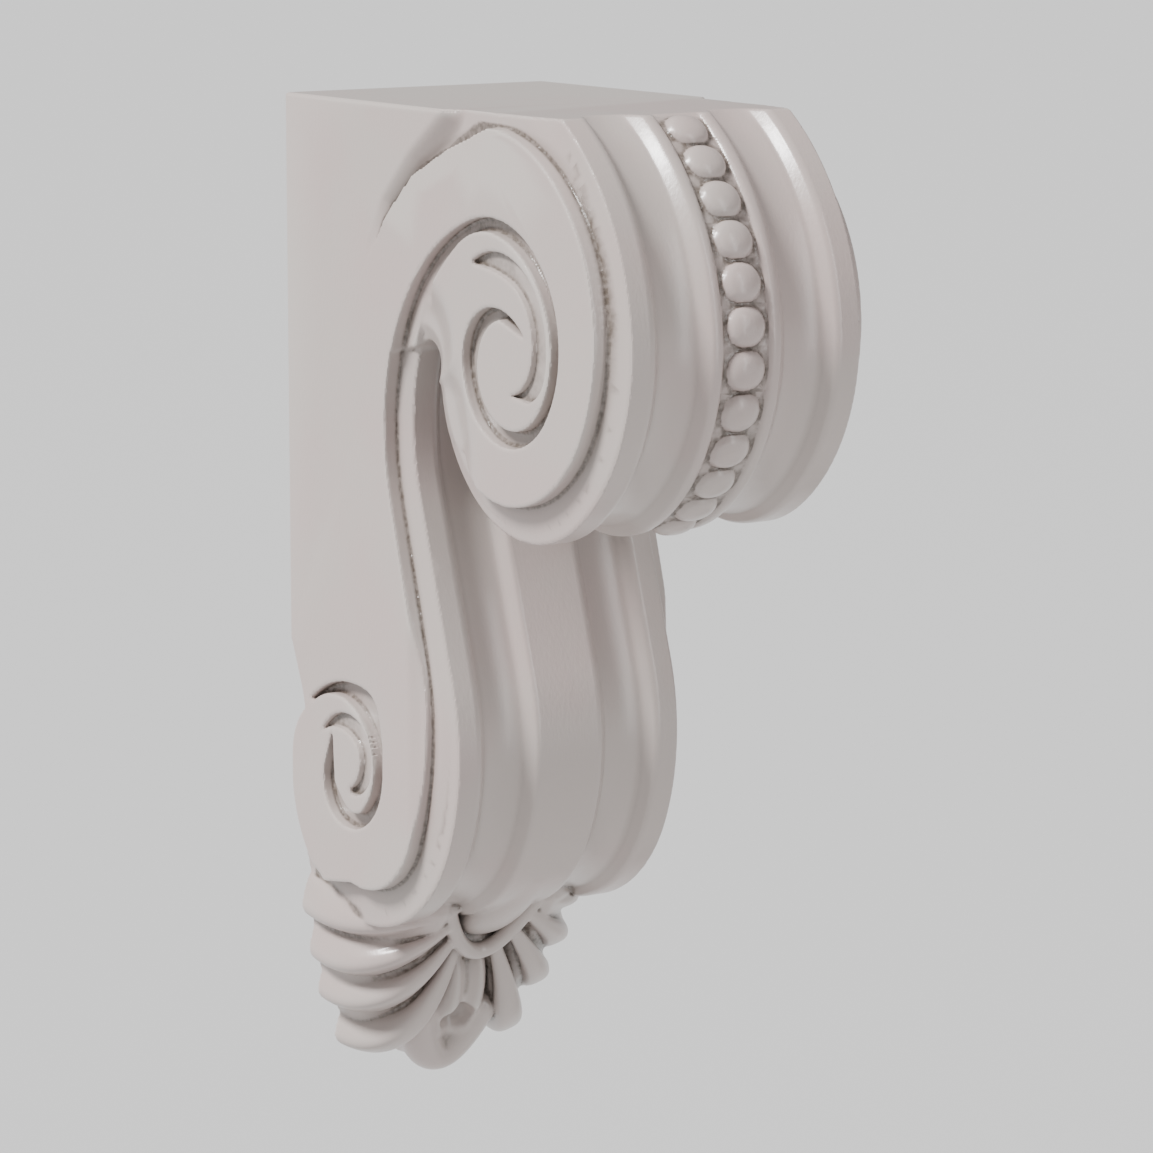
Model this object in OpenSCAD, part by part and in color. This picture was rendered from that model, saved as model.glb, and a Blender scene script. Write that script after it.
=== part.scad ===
// Scroll corbel: a carved bracket with a large scroll at the top, a fluted
// S-shaped neck, a small scroll on each side at the wall and a leaf at the foot.
// It is one solid. The wall is the plane y = 0, the corbel projects towards -Y,
// and the origin is the middle of the wall mount. Outlines are drawn flat as
// [reach from the wall, height below the top face] and then stood upright.

/* [Overall] */
// Height from the top face to the tip of the leaf
height = 356; // [300:1:430]
// Reach from the wall to the front of the large scroll
reach = 202; // [168:1:245]
// Width across the front bands
front_w = 90.4; // [75:0.1:105]
// Width across the back plate and the ribbons
plate_w = 106.8; // [95:0.1:130]
// Drop from the top face to the middle of the wall mount
mount_drop = 100; // [60:1:150]

/* [Side relief] */
// Height of the ribbon face above the rim beside it
rim_step = 5.5; // [3:0.1:6.5]
// Width of the sloping rim round the large scroll and the belly
rim_w = 11.4; // [6:0.1:12]
// Width of the sloping rim along the neck
neck_rim_w = 6; // [4:0.1:8]
// Depth of the spiral grooves below the ribbon face
groove_depth = 4.5; // [2:0.1:7]
// Depth of the crescent grooves beside the scroll eyes
crescent_depth = 2.5; // [1:0.1:4]

/* [Front moulding] */
// Width of the flat band along each edge
band_w = 9.2; // [6:0.1:12]
// Width of the raised panel down the middle
panel_w = 27; // [22:0.1:32]
// Depth of the two flutes
flute_depth = 5; // [2:0.1:6]
// Width of the sloping sides of a flute
flute_side = 3.4; // [1.5:0.1:5]
// Width of the sunk channel that holds the beads
channel_w = 17.5; // [15:0.1:20]
// Depth of the bead channel
channel_depth = 1.2; // [0.5:0.1:2]

/* [Beads] */
// Number of beads
bead_count = 12; // [8:1:12]
// Distance from bead to bead along the scroll
bead_pitch = 14.4; // [13:0.1:16]
// Diameter of a bead where it meets the channel
bead_d = 14; // [12:0.1:16]
// Height of a bead above the channel
bead_rise = 3.4; // [2:0.1:5]

/* [Neck] */
// Width of the throat between the large scroll and the neck
throat_w = 14; // [12:0.1:17]
// Radius of the belly at the lower front
belly_r = 60; // [52:0.5:68]

/* [Leaf] */
// Width of the leaf where it leaves the small scrolls
foot_width = 94; // [84:1:104]
// Height from one side lobe to the next
lobe_pitch = 14; // [11:0.5:18]
// Depth of the notches between the side lobes
lobe_relief = 4.5; // [2:0.5:6]
// Fall of a side lobe from its outer end to its root
lobe_droop = 10; // [0:1:16]
// Height by which the middle lobe stands forward
middle_relief = 4; // [2:0.5:6]

/* [Hidden] */
// Height of the notch above the first side lobe
lobe_top = -286;
// Share of the turn round the leaf that the middle lobe takes
middle_turn = 22;

paint = "#c4beb9";
// Turn, in degrees, that one straight facet of a contour stands for
facet_turn = 8;
groove_turn = 13;
// Length by which an outline runs past a face that trims it
run_out = 16;
big = 500;
// Depth by which cuts and joined shapes reach past a face
bite = 1;

ribbon_x = plate_w / 2;
rim_x = ribbon_x - rim_step;
front_x = front_w / 2;
panel_x = panel_w / 2;
channel_x = channel_w / 2;

// ---- Chains of arcs ----------------------------------------------------------
// A leg is [radius, turn in degrees], left turns positive, or [length, 0].
function along(h) = [cos(h), sin(h)];
function left_of(h) = [-sin(h), cos(h)];
function leg_at(p, h, leg, t) =
    leg[1] == 0 ? p + t * leg[0] * along(h)
    : p + leg[0] * sign(leg[1]) * (left_of(h) - left_of(h + t * leg[1]));
function leg_steps(leg, turn) = leg[1] == 0 ? 1 : max(2, ceil(abs(leg[1]) / turn));
// A station is [reach, height, heading, leg number plus the share of that leg]
function walk(p, h, legs, turn, i = 0) =
    i == len(legs) ? []
    : let (leg = legs[i], n = leg_steps(leg, turn))
      concat(
        [for (k = [1:n]) let (q = leg_at(p, h, leg, k / n)) [q.x, q.y, h + leg[1] * k / n, i + k / n]],
        walk(leg_at(p, h, leg, 1), h + leg[1], legs, turn, i + 1));
function chain(p, h, legs, turn = facet_turn) =
    concat([[p.x, p.y, h, 0]], walk(p, h, legs, turn));
function spots(stations, d = [0, 0]) = [for (s = stations) set_out([s.x + d.x, s.y + d.y])];
function reversed(list) = [for (i = [len(list) - 1:-1:0]) list[i]];
function ramp(u, from, to) = max(0, min(1, (u - from) / (to - from)));

// ---- Front contour: scroll, throat, hollow, straight neck, swell, belly ------
// Reach that the outlines below are drawn for
drawn_reach = 202;
reach_share = reach / drawn_reach;
// Drawn points, and stations with their headings, set out to the reach asked for
function set_out(p) = [reach_share * p.x, p.y];
function set_out_station(s) =
    [reach_share * s.x, s.y, atan2(sin(s[2]), reach_share * cos(s[2])), s[3]];
scroll_start = [162.1, -0.4];
scroll_heading = -34.5;
scroll_legs = [[91.2, -47.4], [70.5, -64.7], [52.4, -125.2]];
// Heading of the straight of the neck, which a taller corbel lengthens
neck_heading = -72.1;
neck_stretch = (height - 356) / -sin(neck_heading);
neck_legs = [[throat_w / 2, 162], [75, 37.7], [66.2 + neck_stretch, 0], [82.5, -42.2], [belly_r, -98]];
drawn_front = chain(
    scroll_start - run_out * along(scroll_heading), scroll_heading,
    concat([[run_out, 0]], scroll_legs, neck_legs));
front = [for (s = drawn_front) set_out_station(s)];
// What lies below the straight moves with its lower end
low_shift = neck_stretch * along(neck_heading);
foot_drop = [0, low_shift.y];

// ---- Front body: the contour carried across the width, with its flutes -------
function rim_at(u) = rim_w + (neck_rim_w - rim_w) * (ramp(u, 3, 4) - ramp(u, 7, 8));
function flute_at(u) = flute_depth * (1 - ramp(u, 8.5, 8.68));
function channel_at(u) = channel_depth * (1 - ramp(u, 3.25, 3.4));
flute_in = panel_x + flute_side;
flute_out = front_x - band_w - flute_side;
// Rows across one half, from the middle: [x, share of channel, of flute, of rim]
rows = [
    [0, 1, 0, 0],
    [channel_x, 1, 0, 0],
    [channel_x + 1, 0, 0, 0],
    [panel_x, 0, 0, 0],
    [flute_in, 0, 0.82, 0],
    [(2 * flute_in + flute_out) / 3, 0, 1, 0],
    [(flute_in + 2 * flute_out) / 3, 0, 1, 0],
    [flute_out, 0, 0.82, 0],
    [front_x - band_w, 0, 0, 0],
    [front_x, 0, 0, 0],
    [rim_x, 0, 0, 1]
];
all_rows = concat(
    [for (i = [len(rows) - 1:-1:1]) [-rows[i][0], rows[i][1], rows[i][2], rows[i][3]]],
    rows);
function front_ring(row) = concat(
    [for (s = front)
        let (
            sink = row[1] * channel_at(s[3]) + row[2] * flute_at(s[3]) + row[3] * rim_at(s[3]),
            q = [s.x, s.y] - sink * left_of(s[2])
        )
        [row[0], -q.x, q.y]],
    [[row[0], run_out, front[len(front) - 1].y], [row[0], run_out, run_out]]);

// A closed skin over rings with the same number of points
module skin(rings) {
    n = len(rings[0]);
    m = len(rings);
    sides = [
        for (j = [0:m - 2], i = [0:n - 1])
            let (a = j * n + i, b = j * n + (i + 1) % n)
            each [[a, a + n, b + n], [a, b + n, b]]
    ];
    caps = [
        [for (i = [0:n - 1]) i],
        [for (i = [n - 1:-1:0]) (m - 1) * n + i]
    ];
    polyhedron(points = [for (ring = rings) each ring], faces = concat(caps, sides));
}

module front_body() {
    color(paint) skin([for (row = all_rows) front_ring(row)]);
}

// ---- Plate, ribbons and scroll faces ------------------------------------------
module stood_up(width) {
    rotate([90, 0, -90]) linear_extrude(width, center = true) polygon($outline);
}

// Step from the front contour to the ribbon's edge round the throat
throat_inset = 0.6;
ribbon_scroll_legs = [[65.4, -115.4], [51.5, -55.2], [42.4, -40]];
ribbon_neck_legs = [[87.9, 34], [52.4 + neck_stretch, 0], [99.1, -40.4], [34, -78]];
small_back_legs = [[20.8, 44.7], [47.2, 30.4], [45.9, 36]];
ribbon_outline = concat(
    // Top edge to the crease, and back up along the outer edge of the ribbon
    spots([[-run_out, run_out], [108, run_out], [100.7, 0], [84, -20], [105, -11.5]]),
    spots(chain([129, -4.1], -2.3, ribbon_scroll_legs)),
    // Round the throat, just inside the front contour
    [for (s = front) if (s[3] > 3.62 && s[3] < 4.75) [s.x, s.y] - throat_inset * left_of(s[2])],
    spots(chain([68.4, -83.6], -107.6, ribbon_neck_legs)),
    reversed(spots(chain([9.4, -215.7], 214, small_back_legs), low_shift)),
    spots([[7.4, -208.8], [0.7, -192.8]], low_shift),
    spots([[-run_out, -190]], foot_drop));

module ribbon_body() {
    $outline = ribbon_outline;
    color(paint) stood_up(plate_w);
}

// ---- Spiral and crescent grooves: [start, heading, legs] of both edges --------
big_groove = [
    [[64.3, -107.9], 87.5, [[109.1, -3.9], [77.4, -65.8], [41, -75.6], [38.7, -70.3], [27.9, -66.7],
        [26.9, -70.6], [18.9, -94.8], [24.2, -49.1]]],
    [[73.6, -90], 66.4, [[112.7, -30.4], [30.2, -43.5], [40.3, -61.3], [30.4, -63.1], [21.1, -96.5],
        [18.2, -66.1], [16.2, -55.1]]]
];
big_crescent = [
    [[120.3, -48.2], 31.5, [[26.7, -39], [30.2, -98.1], [12.7, -63.5]]],
    [[120.6, -49.4], 0.1, [[62.5, -19.8], [21.7, -84.9], [15.9, -65.5]]]
];
small_groove = [
    [[13.6, -211.4], 38.5, [[44.2, -50.9], [11.5, -60.2], [52.8, -26.5], [22.3, -98.6], [14.9, -95.3],
        [12.9, 0]]],
    [[15.1, -212.2], 35.4, [[26.1, -96.1], [19.2, -66.7], [35.5, -7.2], [9.1, -84.9], [50, -11.6]]]
];
small_crescent = [
    [[21.1, -221.9], 56.6, [[19.5, -83.4], [14.7, -64.9], [12.8, -95]]],
    [[20.9, -222.1], 34.7, [[19.4, -70.7], [8.1, -67.8], [12.8, -52]]]
];
function groove_outline(edges, d) = concat(
    spots(chain(edges[0][0], edges[0][1], edges[0][2], groove_turn), d),
    reversed(spots(chain(edges[1][0], edges[1][1], edges[1][2], groove_turn), d)));

module groove(edges, d, depth) {
    $outline = groove_outline(edges, d);
    for (side = [-1, 1])
        translate([side * (ribbon_x + bite - (depth + bite) / 2), 0, 0]) stood_up(depth + bite);
}

// ---- Beads along the large scroll ---------------------------------------------
// Point and heading at a length s along the scroll legs
function leg_length(leg) = leg[0] * abs(leg[1]) * PI / 180;
function ride(p, h, legs, s, i = 0) =
    let (leg = legs[i], share = s / leg_length(leg))
    share <= 1 || i == len(legs) - 1
        ? concat(leg_at(p, h, leg, share), [h + leg[1] * share])
        : ride(leg_at(p, h, leg, 1), h + leg[1], legs, s - leg_length(leg), i + 1);
bead_r = (pow(bead_d / 2, 2) + pow(bead_rise, 2)) / (2 * bead_rise);

module beads() {
    for (k = [0:bead_count - 1]) {
        s = set_out_station(ride(scroll_start, scroll_heading, scroll_legs, (k + 0.45) * bead_pitch));
        sink = channel_depth + bead_r - bead_rise;
        q = [s.x, s.y] - sink * left_of(s[2]);
        color(paint) translate([0, -q.x, q.y]) sphere(bead_r, $fn = 20);
    }
}

// ---- Leaf ----------------------------------------------------------------------
// Levels down the leaf: [height, half width at the wall, reach in the middle]
leaf_levels = [
    [-272, 47, 47], [-288, 47, 47], [-300, 45, 41], [-312, 42.5, 36], [-324, 40, 31],
    [-334, 36, 26], [-343, 30, 17], [-350, 20, 9], [-356, 6, 3]
];
leaf_sides = 24;
leaf_pitch = 1.9;
function leaf_row(z, i = 1) =
    i == len(leaf_levels) - 1 || z >= leaf_levels[i][0]
        ? let (p = leaf_levels[i - 1], q = leaf_levels[i]) p + (q - p) * (z - p[0]) / (q[0] - p[0])
        : leaf_row(z, i + 1);
// Depth of the notches between the side lobes, which droop towards the middle
function lobe_notch(z, a) =
    let (phase = (lobe_top - z + lobe_droop * pow(abs(cos(a)), 1.5) - lobe_droop) / lobe_pitch)
    lobe_relief * pow(abs(cos(180 * phase)), 3);
// Swell of the middle lobe, and the valleys at its sides
function middle_swell(a) =
    let (u = (a - 90) / middle_turn)
    middle_relief * (exp(-u * u) - exp(-pow(abs(u) - 1.9, 2) * 1.4));
function leaf_ring(z) =
    let (row = leaf_row(z), side = foot_width / 94)
    [for (i = [0:leaf_sides])
        let (
            a = 180 * i / leaf_sides,
            sink = lobe_notch(z, a) * (1 - exp(-pow((a - 90) / middle_turn, 2))) - middle_swell(a),
            wide = max(1, row[1] * side - sink),
            deep = max(1, row[2] - sink)
        )
        [
            wide * sign(cos(a)) * pow(abs(cos(a)), 0.7),
            -reach_share * (deep * pow(sin(a), 0.62) + low_shift.x * sin(a)),
            row[0] + foot_drop.y
        ]];

module leaf() {
    top = leaf_levels[0][0];
    bottom = leaf_levels[len(leaf_levels) - 1][0];
    n = ceil((top - bottom) / leaf_pitch);
    color(paint) skin([for (k = [0:n]) leaf_ring(top + (bottom - top) * k / n)]);
}

// ---- The whole corbel ------------------------------------------------------------
module carved() {
    difference() {
        union() {
            front_body();
            difference() {
                ribbon_body();
                groove(big_groove, [0, 0], groove_depth);
                groove(big_crescent, [0, 0], crescent_depth);
                groove(small_groove, low_shift, groove_depth);
                groove(small_crescent, low_shift, crescent_depth);
            }
            beads();
            leaf();
        }
        // The wall behind and the level top face
        translate([-big / 2, 0, -big]) cube([big, big, 2 * big]);
        translate([-big / 2, -big, 0]) cube([big, 2 * big, big]);
    }
}

// The carved body is brought to its exact width, reach and height
module corbel() {
    color(paint) translate([0, 0, mount_drop]) resize([plate_w, reach, height]) carved();
}

corbel();
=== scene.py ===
"""The scroll corbel as a finely carved, painted mesh in the frame of its solid."""
import math

import bpy
import numpy as np
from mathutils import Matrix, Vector


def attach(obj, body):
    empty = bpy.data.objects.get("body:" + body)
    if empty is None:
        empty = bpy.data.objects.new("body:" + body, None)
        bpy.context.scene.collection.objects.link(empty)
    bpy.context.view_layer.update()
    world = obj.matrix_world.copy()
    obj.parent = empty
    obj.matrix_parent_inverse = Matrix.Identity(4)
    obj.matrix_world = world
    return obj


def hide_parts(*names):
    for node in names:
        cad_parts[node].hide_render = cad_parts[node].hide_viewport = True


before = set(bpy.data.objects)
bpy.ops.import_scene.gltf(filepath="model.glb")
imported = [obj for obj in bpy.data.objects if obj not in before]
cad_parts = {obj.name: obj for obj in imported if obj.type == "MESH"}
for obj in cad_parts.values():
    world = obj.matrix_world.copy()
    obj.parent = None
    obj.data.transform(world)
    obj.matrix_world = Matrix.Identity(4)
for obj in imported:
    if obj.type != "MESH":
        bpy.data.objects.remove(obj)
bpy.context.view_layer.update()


# ---- Sizes, in millimetres. Outlines are [reach from the wall, height below the top] ----
HEIGHT, REACH, MOUNT_DROP = 356.0, 202.0, 100.0
RIBBON_X, RIM_X, FRONT_X = 53.4, 47.9, 45.2
RIM_W, NECK_RIM_W = 11.4, 6.0
GROOVE_DEPTH, CRESCENT_DEPTH = 4.5, 2.5
BAND_W, PANEL_X, FLUTE_DEPTH, FLUTE_SIDE = 9.2, 13.5, 5.0, 3.4
CHANNEL_X, CHANNEL_DEPTH = 8.75, 1.2
BEAD_COUNT, BEAD_PITCH, BEAD_RISE = 12, 14.4, 3.4
DRAWN_REACH = 201.0  # the reach that the outlines below are drawn to
REACH_SHARE = (REACH - (BEAD_RISE - CHANNEL_DEPTH)) / DRAWN_REACH
STEP = 0.8  # spacing of the grid that the surface is read from
SOFT = 0.7  # radius to which worn edges are rounded
FLUTE_ROUND = 1.3  # reach over which the edges of a flute are rounded


# ---- Outlines: chains of arcs -----------------------------------------------------------
def chain(start, heading, legs, turn=3.0):
    """Points along arcs [radius, turn] and straights [length, 0], with leg counts and lengths."""
    at, rows, done = np.array(start, float), [(start[0], start[1], 0.0, 0.0)], 0.0
    for number, (size, bend) in enumerate(legs):
        h = math.radians(heading)
        n = 1 if bend == 0 else max(2, math.ceil(abs(bend) / turn))
        length = size if bend == 0 else size * math.radians(abs(bend))
        for k in range(1, n + 1):
            t = k / n
            if bend == 0:
                p = at + t * size * np.array([math.cos(h), math.sin(h)])
            else:
                g = math.radians(heading + bend * t)
                side = math.copysign(size, bend)
                p = at + side * np.array([math.sin(g) - math.sin(h), math.cos(h) - math.cos(g)])
            rows.append((p[0], p[1], number + t, done + t * length))
        at, heading, done = p, heading + bend, done + length
    return np.array(rows)


SCROLL_START, SCROLL_HEADING, RUN_OUT = (162.1, -0.4), -34.5, 16.0
SCROLL_LEGS = [(91.2, -47.4), (70.5, -64.7), (52.4, -125.2)]
NECK_LEGS = [(7, 162), (75, 37.7), (66.2, 0), (82.5, -42.2), (60, -98)]
h0 = math.radians(SCROLL_HEADING)
before = (SCROLL_START[0] - RUN_OUT * math.cos(h0), SCROLL_START[1] - RUN_OUT * math.sin(h0))
front = chain(before, SCROLL_HEADING, [(RUN_OUT, 0)] + SCROLL_LEGS + NECK_LEGS, 2.5)

ribbon_scroll = chain((129, -4.1), -2.3, [(65.4, -115.4), (51.5, -55.2), (42.4, -53.9)])
ribbon_neck = chain((68.4, -83.6), -107.6, [(87.9, 34), (52.4, 0), (99.1, -40.4), (34, -78)])
small_back = chain((9.4, -215.7), 214, [(20.8, 44.7), (47.2, 30.4), (45.9, 36)])
ribbon = np.vstack([
    [[-30, 20], [127, 20]],
    ribbon_scroll[:, :2],
    [[84, -106], [81.5, -92], [81.5, -80]],
    ribbon_neck[:, :2],
    small_back[::-1, :2],
    [[7.4, -208.8], [0.7, -192.8], [-30, -192]],
])
crease = np.array([(101.5, 20), (100.7, 0), (80.2, -14.8), (63.2, -31.2), (56, -44.5)])
wedge = np.vstack([
    crease,
    [(53.5, -55.5), (65.8, -37.8), (82.8, -23), (105, -12.9), (129, -4.6)],
    [(139, -3.6), (151, -4.2), (200, -4), (200, 20)],
])


def between(first, second):
    """The closed outline between two edges of a groove."""
    return np.vstack([chain(*first)[:, :2], chain(*second)[::-1, :2]])


big_groove = between(
    ((64.3, -107.9), 87.5, [(109.1, -3.9), (77.4, -65.8), (41, -75.6), (38.7, -70.3), (27.9, -66.7),
                            (26.9, -70.6), (18.9, -94.8), (24.2, -49.1)]),
    ((73.6, -90), 66.4, [(112.7, -30.4), (30.2, -43.5), (40.3, -61.3), (30.4, -63.1), (21.1, -96.5),
                         (18.2, -66.1), (16.2, -55.1)]))
big_crescent = between(
    ((120.3, -48.2), 31.5, [(26.7, -39), (30.2, -98.1), (12.7, -63.5)]),
    ((120.6, -49.4), 0.1, [(62.5, -19.8), (21.7, -84.9), (15.9, -65.5)]))
small_groove = between(
    ((13.6, -211.4), 38.5, [(44.2, -50.9), (11.5, -60.2), (52.8, -26.5), (22.3, -98.6), (14.9, -95.3),
                            (12.9, 0)]),
    ((15.1, -212.2), 35.4, [(26.1, -96.1), (19.2, -66.7), (35.5, -7.2), (9.1, -84.9), (50, -11.6)]))
small_crescent = between(
    ((21.1, -221.9), 56.6, [(19.5, -83.4), (14.7, -64.9), (12.8, -95)]),
    ((20.9, -222.1), 34.7, [(19.4, -70.7), (8.1, -67.8), (12.8, -52)]))

# ---- Flat fields over reach u and height v ----------------------------------------------
n_x = int(math.ceil(56 / STEP)) + 1
u_axis = np.arange(-2, math.ceil((REACH + 4) / STEP) + 1) * STEP
v_axis = np.arange(-math.ceil((HEIGHT + 3) / STEP), 3) * STEP
x_axis = np.arange(n_x) * STEP
U, V = np.meshgrid((u_axis / REACH_SHARE).astype(np.float32), v_axis.astype(np.float32), indexing="ij")


def to_line(points, closed=False):
    """Distance to a line of points, with the nearest piece's number and share."""
    best = np.full(U.shape, 1e9, np.float32)
    where = np.zeros(U.shape, np.float32)
    pts = np.vstack([points, points[:1]]) if closed else points
    for i in range(len(pts) - 1):
        a, d = pts[i], pts[i + 1] - pts[i]
        dd = d @ d
        if dd < 1e-12:
            continue
        t = np.clip(((U - a[0]) * d[0] + (V - a[1]) * d[1]) / dd, 0, 1)
        r = (U - a[0] - t * d[0]) ** 2 + (V - a[1] - t * d[1]) ** 2
        near = r < best
        best = np.where(near, r, best)
        where = np.where(near, i + t, where)
    return np.sqrt(best), where


def region(points):
    """Signed distance to a closed outline, negative inside."""
    inside = np.zeros(U.shape, bool)
    for a, b in zip(points, np.roll(points, -1, axis=0)):
        crosses = (a[1] > V) != (b[1] > V)
        if a[1] != b[1]:
            inside ^= crosses & (U < (b[0] - a[0]) * (V - a[1]) / (b[1] - a[1]) + a[0])
    distance = to_line(points, True)[0]
    return np.where(inside, -distance, distance)


def ramp(value, low, high):
    t = np.clip((value - low) / (high - low), 0, 1)
    return t * t * (3 - 2 * t)


def both(a, b, k=SOFT):
    """The overlap of two fields, its edge rounded."""
    h = np.clip(k - np.abs(a - b), 0, None)
    return np.maximum(a, b) + h * h / (4 * k)


def joined(a, b, k=SOFT):
    """The union of two fields, its crevice filled a little."""
    h = np.clip(k - np.abs(a - b), 0, None)
    return np.minimum(a, b) - h * h / (4 * k)


profile = np.vstack([front[:, :2], [[-30, front[-1, 1]], [-30, 40]]])
D = region(profile)
_, nearest = to_line(front[:, :2])
index = np.arange(len(front))
leg_no = np.interp(nearest, index, front[:, 2]).astype(np.float32)
length = np.interp(nearest, index, front[:, 3]).astype(np.float32) - RUN_OUT

R = region(ribbon)
rim_step = RIBBON_X - RIM_X
# The spiral groove starts out as the rim of the neck and then grows shallower
start_depth = GROOVE_DEPTH + (rim_step - GROOVE_DEPTH) * (1 - ramp(V, -85, -55)) * (U < 90)
grooves = [(region(big_groove), start_depth), (region(big_crescent), CRESCENT_DEPTH),
           (region(small_groove), GROOVE_DEPTH), (region(small_crescent), CRESCENT_DEPTH)]
to_crease = to_line(crease)[0]
wedge_in = region(wedge)
# Beside the throat the scroll's face sinks to the level of the rim
turn_at = np.degrees(np.arctan2(V + 76, U - 128))
below = ramp(-turn_at, 92, 126) * ramp(D, -30, -9) * ramp(U, 78, 86) * (U < 132) * ramp(-V, 78, 96)
right_of_groove = ramp(U - np.where(V > -92, 73.6 + (V + 90) * 0.44, 81.5), -3, 0)
by_throat = right_of_groove * (1 - ramp(np.hypot(U - 82, V + 80), 9, 30))
by_foot = 1 - ramp(np.hypot(U - 12, V + 284), 4, 14)
run_down = np.maximum(below, by_throat)

rim = RIM_W + (NECK_RIM_W - RIM_W) * (ramp(leg_no, 3, 4) - ramp(leg_no, 7, 8))
flute = FLUTE_DEPTH * (1 - ramp(leg_no, 8.62, 8.80))
# Towards the leaf the panel narrows to a rounded tongue
tongue = np.sqrt(np.clip(1 - np.clip((leg_no - 8.5) / 0.24, 0, 1) ** 2, 0, 1))
rim_face = FRONT_X + (RIM_X - FRONT_X) * np.clip(-D / rim, 0, 1)
channel = CHANNEL_DEPTH * (1 - ramp(leg_no, 3.22, 3.4))
flute_from, flute_to = PANEL_X * tongue, FRONT_X - BAND_W
flute_middle = (flute_to - PANEL_X) / 2


def flute_share(x):
    """Depth of a flute along the row x, as a share of its depth: sloping sides, hollow floor."""
    total = 0
    for shift in FLUTE_ROUND * np.linspace(-1, 1, 7):
        side = np.minimum(x + shift - flute_from, flute_to - x - shift)
        hollow = np.clip((side - FLUTE_SIDE) / (flute_middle - FLUTE_SIDE), 0, 1)
        total = total + 0.84 * np.clip(side / FLUTE_SIDE, 0, 1) + 0.16 * np.sin(np.pi / 2 * hollow)
    return total / 7


def bead_cap(x):
    """How far the beads stand out of the channel over one row x."""
    cap = np.zeros(U.shape, np.float32)
    for k in range(BEAD_COUNT):
        along = (length - (k + 0.45) * BEAD_PITCH) / 6.9
        r = (abs(x) / 7.5) ** 2.1 + np.abs(along) ** 2.1
        cap = np.maximum(cap, BEAD_RISE * np.sqrt(np.clip(1 - r, 0, None)))
    return cap


# ---- The leaf: curved lobes with oval sections ------------------------------------------
def oval(X, W, Z, curve, wide, thick, upright, taper=0.5, square=2.0, full_at=0.65, valley=0.0):
    """Field of a tube of oval section along a curve of three points [x, reach, height].

    A valley runs down its middle from the root and dies out along it.
    """
    best = np.full(X.shape, 1e9, np.float32)
    c = np.array(curve, float)
    for t in np.linspace(0, 1, 60):
        p = (1 - t) ** 2 * c[0] + 2 * t * (1 - t) * c[1] + t * t * c[2]
        ahead = 2 * (1 - t) * (c[1] - c[0]) + 2 * t * (c[2] - c[1])
        ahead /= np.linalg.norm(ahead)
        out = np.cross(ahead, upright)
        out /= np.linalg.norm(out)
        up = np.cross(out, ahead)
        swell = taper + (1 - taper) * math.sin(math.pi / 2 * min(1, t / full_at))
        a, b = wide * swell, thick * swell
        dx, dy, dz = X - p[0], W - p[1], Z - p[2]
        e = np.abs(dx * up[0] + dy * up[1] + dz * up[2]) / a
        sunk = valley * np.exp(-((e / 0.26) ** 2)) * max(0.0, 1 - t / 0.62)
        f = np.abs(dx * out[0] + dy * out[1] + dz * out[2]) / b
        g = (dx * ahead[0] + dy * ahead[1] + dz * ahead[2]) / min(a, b)
        q = np.sqrt((e**square + f**square) ** (2 / square) + g * g)
        best = np.minimum(best, (q - 1) * min(a, b) + sunk)
    return best


def ball(X, W, Z, middle, radii):
    """Field of an ellipsoid."""
    q = np.sqrt(((X - middle[0]) / radii[0]) ** 2 + ((W - middle[1]) / radii[1]) ** 2
                + ((Z - middle[2]) / radii[2]) ** 2)
    return (q - 1) * min(radii)


HEART_FOOT = -349


def heart(X, W, Z):
    """Field of the plain body behind the lobes."""
    levels = [-350, -343, -335, -320, -300, -286, -270]
    half = np.interp(Z, levels, [2, 18, 32, 41, 45, 46, 46])
    deep = np.interp(Z, levels, [2, 7, 14, 24, 33, 43, 44]) * (1 + 0.32 * ramp(np.abs(X), 9, 24))
    r = ((np.abs(X) / half) ** 3 + (np.clip(W, 0, None) / deep) ** 3) ** (1 / 3)
    return np.maximum((r - 1) * np.minimum(half, deep), HEART_FOOT - Z).astype(np.float32)


UPRIGHT, ACROSS, FORWARD = np.eye(3)[[2, 0, 1]]
# Each side lobe: curve, half height, half thickness
SIDE_LOBES = [
    (((17, 50, -284), (50, 42, -291), (41, -6, -285)), 8.6, 7.0),
    (((16, 46, -290), (47, 37, -310), (38, -6, -301)), 8.6, 7.0),
    (((12, 41, -296), (38, 34, -327), (36, -6, -316)), 8.6, 6.6),
    (((8, 35, -302), (25, 27, -345), (30, -6, -333)), 9.4, 6.6),
]


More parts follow.
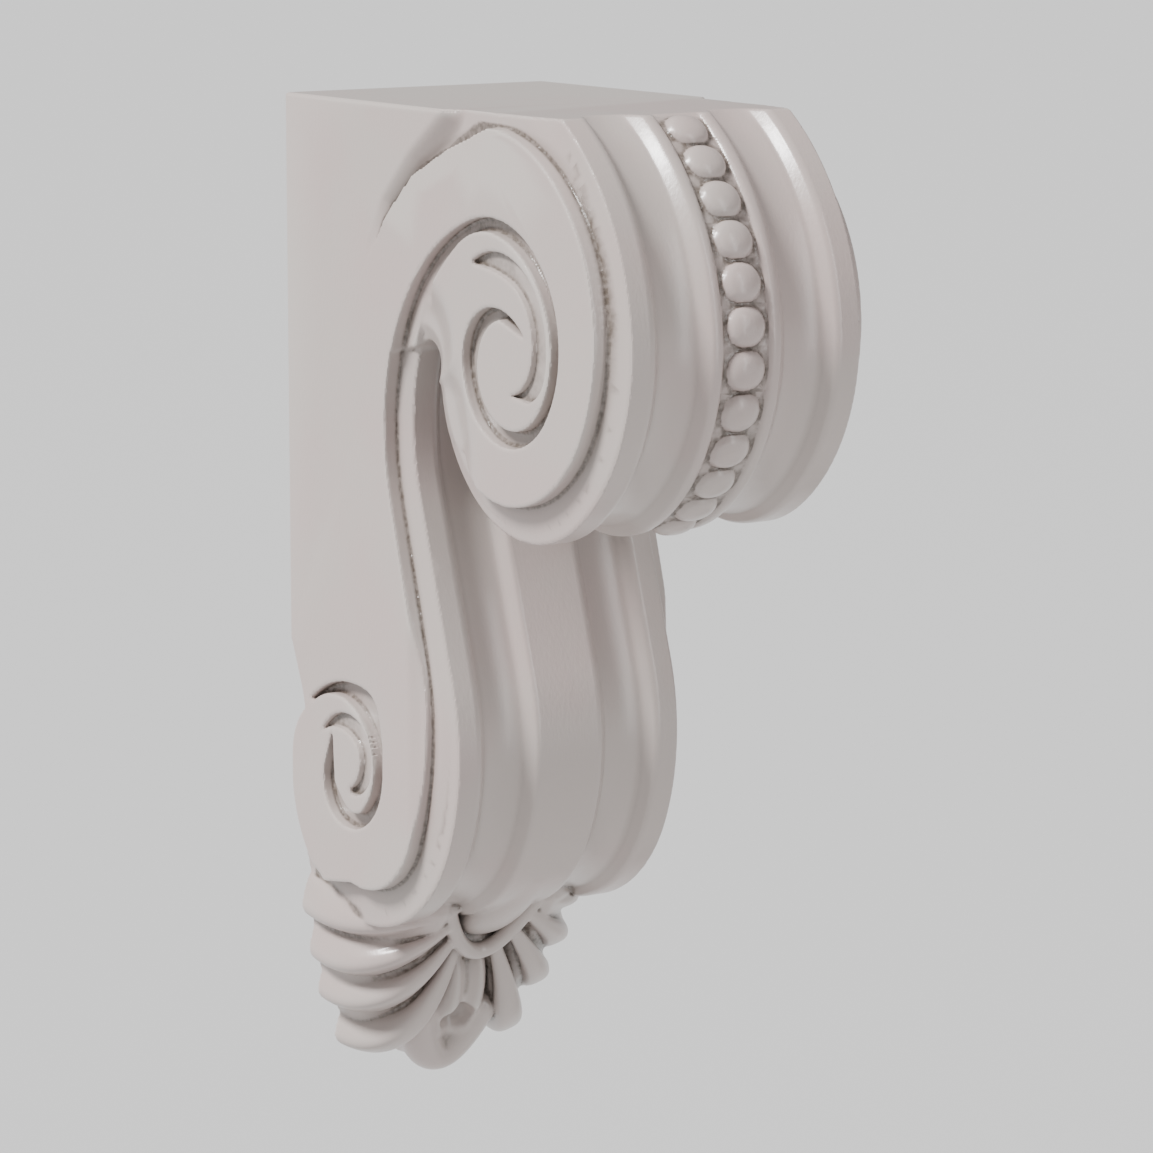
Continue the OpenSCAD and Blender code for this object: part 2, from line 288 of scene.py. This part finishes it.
def leaf(X, W, Z):
    body = heart(X, W, Z)
    for number, (curve, wide, thick) in enumerate(SIDE_LOBES):
        # A lobe leans out at its lower edge, so that it laps over the next one
        lean = UPRIGHT - FORWARD * (0.30 + 0.04 * number) - ACROSS * 0.30
        lobe = oval(X, W, Z, curve, wide, thick, lean, 0.36, 3.2, 0.85, 1.8)
        body = joined(body, lobe, 0.5)
    middle = oval(X, W, Z, ((0, 26, -303), (0, 33, -330), (0, -4, -345)), 14.0, 7.0, ACROSS, 0.62, 2.5)
    # Two rounded fingers, with a hollow between them, run down it into the rolled tip
    fingers = np.cos(2 * np.pi * np.clip(np.abs(X) / 10.4 - 0.5, -0.5, 0.5)) * ramp(Z, -346, -334)
    middle = middle - 1.3 * fingers
    lip = oval(X, W, Z, ((-13, 18, -330), (0, 0, -367), (13, 18, -330)), 8.5, 7.0, FORWARD, 1.0)
    middle = joined(joined(middle, lip, 1.5), ball(X, W, Z, (0, 5, -341), (13, 12, 11)), 1.5)
    pit = ball(X, W, Z, (0, 25, -333), (6.5, 7, 6.5))
    middle = both(middle, -pit, 3.0)
    body = joined(body, middle, 0.5)
    end = oval(X, W, Z, ((0, 76, -262), (0, 54, -286), (0, 40, -290)), 10.5, 8.5, ACROSS, 1.0, 2.2)
    body = joined(body, end, 1.5)
    ring = oval(X, W, Z, ((-19.5, 50, -284), (0, 28, -326), (19.5, 50, -284)), 2.9, 3.0, FORWARD, 1.0)
    body = joined(body, ball(X, W, Z, (0, 28, -300), (17, 10, 9)), 0.5)
    return joined(body, ring, 0.5)


# ---- The whole field ---------------------------------------------------------------------
field = np.empty((n_x, len(u_axis), len(v_axis)), np.float32)
for i, x in enumerate(x_axis):
    sink = flute * flute_share(x)
    if x < CHANNEL_X + 1.2:
        sunk = channel * (1 - ramp(x, CHANNEL_X, CHANNEL_X + 1.2))
        cap = bead_cap(x)
        sink = sink + sunk - np.where(cap > 0, cap, 0)
    slope = 1.0
    if x > FRONT_X:
        sink = sink + rim * (x - FRONT_X) / (RIM_X - FRONT_X)
        slope = np.sqrt(1 + (rim / (RIM_X - FRONT_X)) ** 2)
    elif PANEL_X < x < PANEL_X + FLUTE_SIDE or flute_to - FLUTE_SIDE < x < flute_to:
        slope = np.sqrt(1 + (0.84 * flute / FLUTE_SIDE) ** 2)
    core = both((D + sink) / slope, x - RIM_X)
    face = RIBBON_X * (1 - run_down) + rim_face * run_down
    face = face - rim_step * by_foot
    face = face - np.where(wedge_in < 0, rim_step * ramp(to_crease, 0, 9) * ramp(V, -54, -30), 0)
    side = both(both(R, D), x - face)
    for inside, depth in grooves:
        floor = RIBBON_X - depth
        side = both(side, -both(inside * 0.9, floor - x))
    field[i] = joined(core, side, 0.5)

low = int(np.searchsorted(v_axis, -262))
wide_u = int(np.searchsorted(u_axis, 80))
X3, W3, Z3 = np.meshgrid(x_axis, u_axis[:wide_u], v_axis[:low], indexing="ij")
field[:, :wide_u, :low] = joined(field[:, :wide_u, :low], leaf(X3, W3, Z3).astype(np.float32), 0.8)
field = np.maximum(field, -U[None])  # the flat back
field = np.maximum(field, V[None])  # the level top
field = np.maximum(field, U[None] * REACH_SHARE - REACH + 0.05)
field = np.maximum(field, -HEIGHT + 0.05 - V[None])
field = np.maximum(field, (x_axis - RIBBON_X)[:, None, None])
field = np.concatenate([field[:0:-1], field])
x_full = np.concatenate([-x_axis[:0:-1], x_axis])


# ---- Surface of the field -----------------------------------------------------------------
def surface(f):
    """Vertices and quads of the field's zero level, one vertex to a cell."""
    shape = np.array(f.shape)
    cells = shape - 1
    inside = f < 0
    totals = np.zeros((int(np.prod(cells)), 4), np.float32)
    quads = []
    for axis in range(3):
        a = [slice(None)] * 3
        b = [slice(None)] * 3
        a[axis], b[axis] = slice(0, -1), slice(1, None)
        change = inside[tuple(a)] != inside[tuple(b)]
        at = np.argwhere(change)
        others = [k for k in range(3) if k != axis]
        keep = np.all([(at[:, k] > 0) & (at[:, k] < shape[k] - 1) for k in others], axis=0)
        at = at[keep]
        fa = f[tuple(at.T)]
        step = np.zeros(3, int)
        step[axis] = 1
        fb = f[tuple((at + step).T)]
        share = fa / (fa - fb)
        point = at.astype(np.float32)
        point[:, axis] += share
        ids = []
        for du, dv in ((0, 0), (1, 0), (1, 1), (0, 1)):
            cell = at.copy()
            cell[:, others[0]] -= du
            cell[:, others[1]] -= dv
            number = np.ravel_multi_index(cell.T, cells)
            ids.append(number)
            for k in range(3):
                totals[:, k] += np.bincount(number, point[:, k], len(totals)).astype(np.float32)
            totals[:, 3] += np.bincount(number, minlength=len(totals)).astype(np.float32)
        quad = np.stack(ids, 1)
        turned = (fa < 0) ^ (axis == 1)
        quad[turned] = quad[turned][:, ::-1]
        quads.append(quad)
    quads = np.concatenate(quads)
    used = np.flatnonzero(totals[:, 3])
    renumber = np.zeros(len(totals), np.int64)
    renumber[used] = np.arange(len(used))
    return totals[used, :3] / totals[used, 3:], renumber[quads]


verts, quads = surface(field)


def sample(f, p):
    """The field at points given in grid steps."""
    i = np.clip(np.floor(p).astype(int), 0, np.array(f.shape) - 2)
    t = p - i
    total = 0
    for dx in (0, 1):
        for dy in (0, 1):
            for dz in (0, 1):
                w = (np.where(dx, t[:, 0], 1 - t[:, 0]) * np.where(dy, t[:, 1], 1 - t[:, 1])
                     * np.where(dz, t[:, 2], 1 - t[:, 2]))
                total = total + w * f[i[:, 0] + dx, i[:, 1] + dy, i[:, 2] + dz]
    return total


def blurred(f, reach):
    """The field averaged over a cube of cells, with open space beyond the grid."""
    for axis in range(3):
        f = np.moveaxis(f, axis, 0)
        beyond = STEP * np.arange(1, reach + 2, dtype=np.float32)[:, None, None]
        padded = np.concatenate([f[:1] + beyond[::-1], f, f[-1:] + beyond[:-1]])
        total = np.cumsum(padded, axis=0, dtype=np.float64)
        width = 2 * reach + 1
        f = ((total[width:] - total[:-width]) / width).astype(np.float32)
        f = np.moveaxis(f, 0, axis)
    return f


def to_part(p):
    """Grid steps to metres in the part's frame."""
    return np.stack([
        x_full[0] + p[:, 0] * STEP,
        -(u_axis[0] + p[:, 1] * STEP),
        v_axis[0] + p[:, 2] * STEP + MOUNT_DROP,
    ], 1) / 1000


def to_grid(p):
    """Metres in the part's frame to grid steps."""
    mm = p * 1000
    return np.stack([
        (mm[:, 0] - x_full[0]) / STEP,
        (-mm[:, 1] - u_axis[0]) / STEP,
        (mm[:, 2] - MOUNT_DROP - v_axis[0]) / STEP,
    ], 1)


def mesh_from(name, points, faces):
    mesh = bpy.data.meshes.new(name)
    mesh.vertices.add(len(points))
    mesh.vertices.foreach_set("co", points.astype(np.float32).ravel())
    mesh.loops.add(faces.size)
    mesh.loops.foreach_set("vertex_index", faces.astype(np.int32).ravel())
    mesh.polygons.add(len(faces))
    mesh.polygons.foreach_set("loop_start", np.arange(0, faces.size, faces.shape[1], dtype=np.int32))
    mesh.polygons.foreach_set("loop_total", np.full(len(faces), faces.shape[1], dtype=np.int32))
    mesh.update(calc_edges=True)
    mesh.validate()
    return mesh


MOST_TRIANGLES = 190000
corbel = bpy.data.objects.new("carved_corbel", mesh_from("carved_corbel", to_part(verts), quads))
bpy.context.scene.collection.objects.link(corbel)
thin = corbel.modifiers.new("thin", "DECIMATE")
thin.ratio = min(1.0, MOST_TRIANGLES / (2 * len(quads)))
shown = corbel.evaluated_get(bpy.context.evaluated_depsgraph_get())
mesh = bpy.data.meshes.new_from_object(shown)
corbel.modifiers.clear()
corbel.data = mesh
mesh.polygons.foreach_set("use_smooth", np.ones(len(mesh.polygons), bool))

# Crevices hold brown glaze; broad hollows and the parts sheltered under the scroll are darkened by glaze
# and painted shade, and standing edges are painted lighter
points = np.empty(len(mesh.vertices) * 3, np.float32)
mesh.vertices.foreach_get("co", points)
grid_points = to_grid(points.reshape(-1, 3).astype(np.float64))
clipped = np.clip(field, -15, 15)
for name, reach, scale in (("fine_hollow", 2.4, 0.7), ("broad_hollow_glaze_and_shade", 4.8, 1.6), ("shelter_glaze_and_shade", 13, 4.2)):
    hollow = -sample(blurred(clipped, round(reach / STEP)), grid_points) / scale
    layer = mesh.attributes.new(name, "FLOAT", "POINT")
    layer.data.foreach_set("value", np.clip(hollow, -2, 2).astype(np.float32))

# Shade each corner by the field's own slope, or by its face where an edge turns sharply.
# On a long triangle the slope is taken INSET in from the corner, clear of a rounded edge.
INSET = 1.3 / STEP
corner = np.empty(len(mesh.loops), np.int32)
mesh.loops.foreach_get("vertex_index", corner)
count = np.empty(len(mesh.polygons), np.int32)
mesh.polygons.foreach_get("loop_total", count)
facing = np.empty(len(mesh.polygons) * 3, np.float32)
mesh.polygons.foreach_get("normal", facing)
facing = np.repeat(facing.reshape(-1, 3), count, axis=0)
corner_points = grid_points[corner]
starts = np.concatenate([[0], np.cumsum(count)[:-1]])
middles = np.repeat(np.add.reduceat(corner_points, starts, axis=0) / count[:, None], count, axis=0)
inward = middles - corner_points
to_middle = np.linalg.norm(inward, axis=1, keepdims=True)
corner_points = corner_points + inward / (to_middle + 1e-9) * np.clip(to_middle - INSET, 0, INSET)
slope = np.stack([
    sample(field, corner_points + step) - sample(field, corner_points - step) for step in np.eye(3)
], 1) * (1, -1, 1)
slope /= np.linalg.norm(slope, axis=1, keepdims=True) + 1e-9
agree = np.sum(slope * facing, axis=1, keepdims=True) > math.cos(math.radians(16))
mesh.normals_split_custom_set(np.where(agree, slope, facing).tolist())

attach(corbel, "root")
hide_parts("corbel")


# ---- Materials ------------------------------------------------------------------------------
def shader(name):
    material = bpy.data.materials.new(name)
    material.use_nodes = True
    tree = material.node_tree
    tree.nodes.clear()
    output = tree.nodes.new("ShaderNodeOutputMaterial")
    bsdf = tree.nodes.new("ShaderNodeBsdfPrincipled")
    tree.links.new(bsdf.outputs["BSDF"], output.inputs["Surface"])
    return material, tree, bsdf


def node(tree, kind, links=(), **values):
    made = tree.nodes.new(kind)
    for key, value in values.items():
        if hasattr(made, key):
            setattr(made, key, value)
        else:
            made.inputs[key.replace("_", " ")].default_value = value
    for socket, source in dict(links).items():
        tree.links.new(source, made.inputs[socket])
    return made


paint, tree, bsdf = shader("greige paint with brown glaze and painted shade")
where = node(tree, "ShaderNodeTexCoord")
stretched = node(tree, "ShaderNodeMapping", {"Vector": where.outputs["Object"]})
stretched.inputs["Scale"].default_value = (1, 1, 0.45)
broad = node(tree, "ShaderNodeTexNoise", {"Vector": where.outputs["Object"]}, Scale=16.0, Detail=3.0)
grain = node(tree, "ShaderNodeTexNoise", {"Vector": stretched.outputs["Vector"]}, Scale=900.0, Detail=4.0)
specks = node(tree, "ShaderNodeTexNoise", {"Vector": where.outputs["Object"]}, Scale=520.0, Detail=3.0)
hollow = node(tree, "ShaderNodeAttribute", attribute_name="fine_hollow")
deep = node(tree, "ShaderNodeAttribute", attribute_name="broad_hollow_glaze_and_shade")
shelter_glaze_and_shade = node(tree, "ShaderNodeAttribute", attribute_name="shelter_glaze_and_shade")


def math_node(operation, first, second, clamp=False):
    made = node(tree, "ShaderNodeMath", operation=operation, use_clamp=clamp)
    for socket, value in zip(made.inputs, (first, second)):
        if isinstance(value, (int, float)):
            socket.default_value = value
        else:
            tree.links.new(value, socket)
    return made.outputs[0]


def span(value, low, high):
    made = node(tree, "ShaderNodeMapRange", {"Value": value}, interpolation_type="SMOOTHSTEP")
    made.inputs["From Min"].default_value = low
    made.inputs["From Max"].default_value = high
    return made.outputs["Result"]


def mixed(share, first, second):
    made = tree.nodes.new("ShaderNodeMix")
    made.data_type = "RGBA"
    tree.links.new(share, made.inputs[0])
    for socket, value in ((made.inputs[6], first), (made.inputs[7], second)):
        if isinstance(value, tuple):
            socket.default_value = value
        else:
            tree.links.new(value, socket)
    return made.outputs[2]


COOL, WARM = (0.425, 0.368, 0.343, 1), (0.430, 0.352, 0.332, 1)
# The dark brown colour serves both as real glaze in the crevices and as painted shade in broad hollows
# and under the scroll; the light colour is painted along standing edges
GLAZE_AND_SHADE, LIGHTER_EDGE_TONE = (0.062, 0.045, 0.030, 1), (0.52, 0.49, 0.455, 1)
base = mixed(span(broad.outputs["Fac"], 0.42, 0.62), COOL, WARM)
speck = span(specks.outputs["Fac"], 0.34, 0.68)
in_crevice = span(hollow.outputs["Fac"], 0.3, 0.85)
held = math_node("MULTIPLY", in_crevice, math_node("ADD", math_node("MULTIPLY", speck, 0.3), 0.6), True)
# Broad hollows are darkened towards the glaze colour: partly real glaze, partly painted shade
hollow_glaze_and_shade = math_node("MULTIPLY", span(deep.outputs["Fac"], 0.1, 0.9), 0.4, True)
# The sheltered parts under the scroll are darkened: partly glaze, partly painted shade
sheltered_glaze_and_shade = math_node("MULTIPLY", span(shelter_glaze_and_shade.outputs["Fac"], 0.1, 1.0), 0.6, True)
glaze_and_painted_shade = math_node("MAXIMUM", hollow_glaze_and_shade, sheltered_glaze_and_shade)
glazed_and_shaded = mixed(math_node("MAXIMUM", held, glaze_and_painted_shade), base, GLAZE_AND_SHADE)
# Standing edges are painted a lighter tone
edge = math_node("MULTIPLY", span(hollow.outputs["Fac"], -0.5, -1.1), 0.4, True)
colour = mixed(edge, glazed_and_shaded, LIGHTER_EDGE_TONE)
tree.links.new(colour, bsdf.inputs["Base Color"])
tree.links.new(math_node("ADD", 0.25, math_node("MULTIPLY", grain.outputs["Fac"], 0.14)),
               bsdf.inputs["Roughness"])
bump = node(tree, "ShaderNodeBump", {"Height": grain.outputs["Fac"]}, Strength=0.12, Distance=0.0006)
tree.links.new(bump.outputs["Normal"], bsdf.inputs["Normal"])
bsdf.inputs["Coat Weight"].default_value = 0.3
bsdf.inputs["Coat Roughness"].default_value = 0.22
mesh.materials.clear()
mesh.materials.append(paint)

floor_paint, floor_tree, floor_bsdf = shader("pale floor")
floor_bsdf.inputs["Base Color"].default_value = (0.52, 0.52, 0.52, 1)
floor_bsdf.inputs["Roughness"].default_value = 0.9

# ---- Floor, light and camera ------------------------------------------------------------------
floor_mesh = bpy.data.meshes.new("floor")
half, drop = 60.0, (MOUNT_DROP - HEIGHT) / 1000 - 0.25
floor_mesh.from_pydata(
    [(-half, -half, drop), (half, -half, drop), (half, half, drop), (-half, half, drop)],
    [], [(0, 1, 2, 3)])
floor_mesh.materials.append(floor_paint)
floor = bpy.data.objects.new("floor", floor_mesh)
bpy.context.scene.collection.objects.link(floor)


def area_light(name, place, aim, size, power):
    """A rectangular light, size wide and high, aimed at a point."""
    light = bpy.data.lights.new(name, "AREA")
    light.shape, light.size, light.size_y, light.energy = "RECTANGLE", *size, power
    made = bpy.data.objects.new(name, light)
    made.location = place
    direction = Vector(aim) - Vector(place)
    made.rotation_euler = direction.to_track_quat("-Z", "Y").to_euler()
    bpy.context.scene.collection.objects.link(made)


AIM = (0.0, -0.1, -0.07)
sun_data = bpy.data.lights.new("window", "SUN")
sun_data.energy, sun_data.angle = 7.2, math.radians(14)
sun = bpy.data.objects.new("window", sun_data)
sun.rotation_euler = Vector((1.75, -0.1, -2.0)).to_track_quat("-Z", "Y").to_euler()
bpy.context.scene.collection.objects.link(sun)
area_light("strip", (0.97, -2.41, 0.5), AIM, (0.12, 3.2), 24)

world = bpy.data.worlds.new("studio")
bpy.context.scene.world = world
world.use_nodes = True
world.node_tree.nodes["Background"].inputs["Color"].default_value = (1, 1, 1, 1)
world.node_tree.nodes["Background"].inputs["Strength"].default_value = 0.38

camera_data = bpy.data.cameras.new("camera")
camera_data.sensor_width = 36.0
camera_data.lens = 146.3
camera = bpy.data.objects.new("camera", camera_data)
camera.location = (-0.8763, -1.4064, 0.2098)
camera.rotation_euler = (math.radians(90 - 9.766), 0, math.radians(-33.89))
bpy.context.scene.collection.objects.link(camera)
bpy.context.scene.camera = camera
